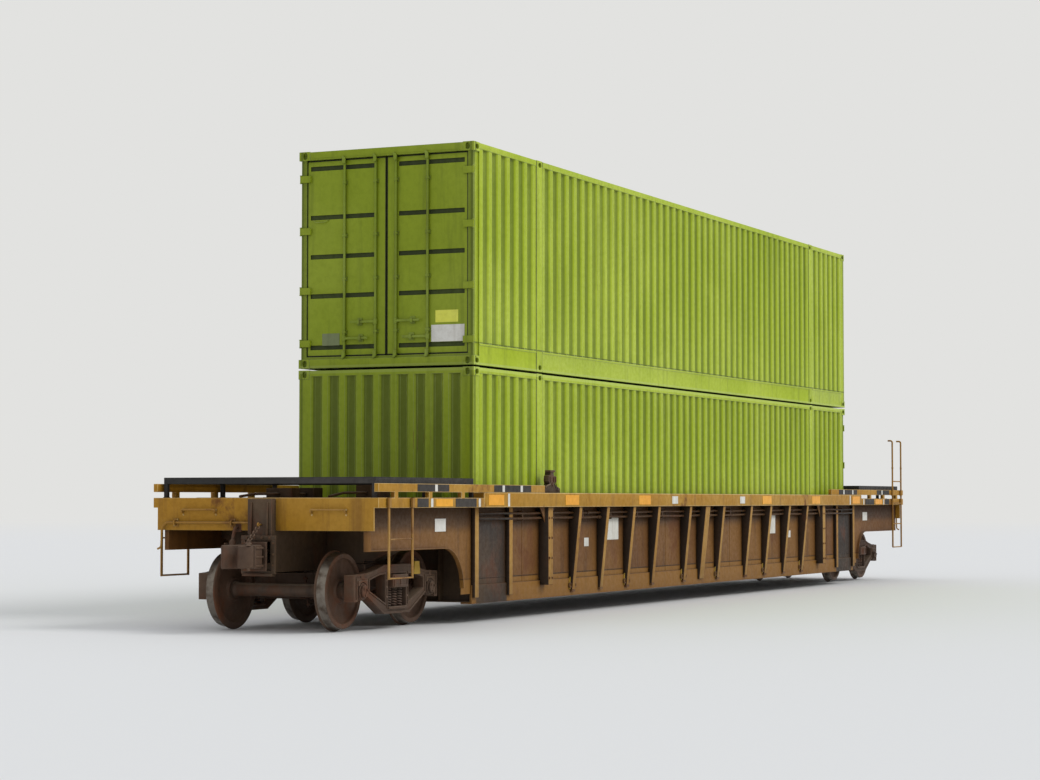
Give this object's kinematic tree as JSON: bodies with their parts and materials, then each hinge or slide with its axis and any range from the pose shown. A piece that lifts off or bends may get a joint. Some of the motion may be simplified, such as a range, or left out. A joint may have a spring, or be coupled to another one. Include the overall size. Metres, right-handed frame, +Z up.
{
  "type": "container well car with two stacked containers",
  "caption": "Depressed-centre flatcar with a deep well, swivelling trucks and steel containers stacked in it; the upper one's doors swing.",
  "frame": {"origin": "under the middle of the car, level with the tips of the wheel flanges", "axes": "+X along the car towards the hand brake end, +Y to its left side, +Z up"},
  "size_m": [23.5904, 3.18, 6.213],
  "materials": {
    "container_green": "weathered lime green paint",
    "chord_ochre": "faded ochre yellow paint with rust",
    "sheet_brown": "ochre paint gone rusty brown",
    "post_ochre": "ochre paint, worn",
    "frame_dark": "grimy brown paint",
    "walkway_black": "black non-slip paint",
    "casting_steel": "rusty cast steel",
    "spring_steel": "rusty spring steel",
    "wheel_steel": "rusty wheel with a bright tread",
    "axle_steel": "rusty forged steel",
    "rod_steel": "green painted galvanized steel",
    "floor_wood": "plywood boards on painted beams"
  },
  "bodies": {
    "car": {"body_bolster_a": "frame_dark", "body_bolster_b": "frame_dark", "bottom_chord_left": "sheet_brown", "bottom_chord_right": "sheet_brown", "brake_stand": "post_ochre", "bulkhead_a": "frame_dark", "bulkhead_b": "frame_dark", "container_guides": "frame_dark", "corner_steps": "post_ochre", "coupler_a": "casting_steel", "coupler_b": "casting_steel", "end_deck_a": "chord_ochre", "end_deck_b": "chord_ochre", "floor_braces": "frame_dark", "floor_frame": "frame_dark", "lower_door_frame": "container_green", "lower_door_gear": "rod_steel", "lower_doors": "container_green", "lower_floor": "floor_wood", "lower_front": "container_green", "lower_roof": "container_green", "lower_side_left": "container_green", "lower_side_right": "container_green", "side_ladder": "post_ochre", "side_posts_left": "post_ochre", "side_posts_right": "post_ochre", "side_sheet_left": "sheet_brown", "side_sheet_right": "sheet_brown", "stack_connectors": "casting_steel", "stub_sill_a": "frame_dark", "stub_sill_b": "frame_dark", "top_chord_left": "chord_ochre", "top_chord_right": "chord_ochre", "upper_door_frame": "container_green", "upper_floor": "floor_wood", "upper_front": "container_green", "upper_roof": "container_green", "upper_side_left": "container_green", "upper_side_right": "container_green", "walkway_a": "walkway_black", "walkway_b": "walkway_black"},
    "door_left": {"upper_door_left": "container_green", "upper_door_gear_left": "rod_steel"},
    "door_right": {"upper_door_right": "container_green", "upper_door_gear_right": "rod_steel"},
    "truck_a": {"side_frames_a": "casting_steel", "truck_bolster_a": "casting_steel", "springs_a": "spring_steel"},
    "wheelset_a_outer": {"wheels_a_outer": "wheel_steel", "axle_a_outer": "axle_steel"},
    "wheelset_a_inner": {"wheels_a_inner": "wheel_steel", "axle_a_inner": "axle_steel"},
    "truck_b": {"side_frames_b": "casting_steel", "truck_bolster_b": "casting_steel", "springs_b": "spring_steel"},
    "wheelset_b_outer": {"wheels_b_outer": "wheel_steel", "axle_b_outer": "axle_steel"},
    "wheelset_b_inner": {"wheels_b_inner": "wheel_steel", "axle_b_inner": "axle_steel"}
  },
  "joints": [
    {"name": "truck_a_swivel", "type": "hinge", "parent": "car", "child": "truck_a", "pos_m": [-9.775, 0, 0.692], "axis": [0, 0, 1], "range_deg": [-6, 6]},
    {"name": "wheelset_a_outer_turn", "type": "hinge", "parent": "truck_a", "child": "wheelset_a_outer", "pos_m": [-10.664, 0, 0.485], "axis": [0, 1, 0], "continuous": true},
    {"name": "wheelset_a_inner_turn", "type": "hinge", "parent": "truck_a", "child": "wheelset_a_inner", "pos_m": [-8.886, 0, 0.485], "axis": [0, 1, 0], "continuous": true},
    {"name": "truck_b_swivel", "type": "hinge", "parent": "car", "child": "truck_b", "pos_m": [9.775, 0, 0.692], "axis": [0, 0, 1], "range_deg": [-6, 6]},
    {"name": "wheelset_b_outer_turn", "type": "hinge", "parent": "truck_b", "child": "wheelset_b_outer", "pos_m": [10.664, 0, 0.485], "axis": [0, 1, 0], "continuous": true},
    {"name": "wheelset_b_inner_turn", "type": "hinge", "parent": "truck_b", "child": "wheelset_b_inner", "pos_m": [8.886, 0, 0.485], "axis": [0, 1, 0], "continuous": true},
    {"name": "door_left_swing", "type": "hinge", "parent": "car", "child": "door_left", "pos_m": [-8.062, 1.278, 4.765], "axis": [0, 0, -1], "range_deg": [0, 250]},
    {"name": "door_right_swing", "type": "hinge", "parent": "car", "child": "door_right", "pos_m": [-8.062, -1.278, 4.765], "axis": [0, 0, 1], "range_deg": [0, 250]}
  ]
}
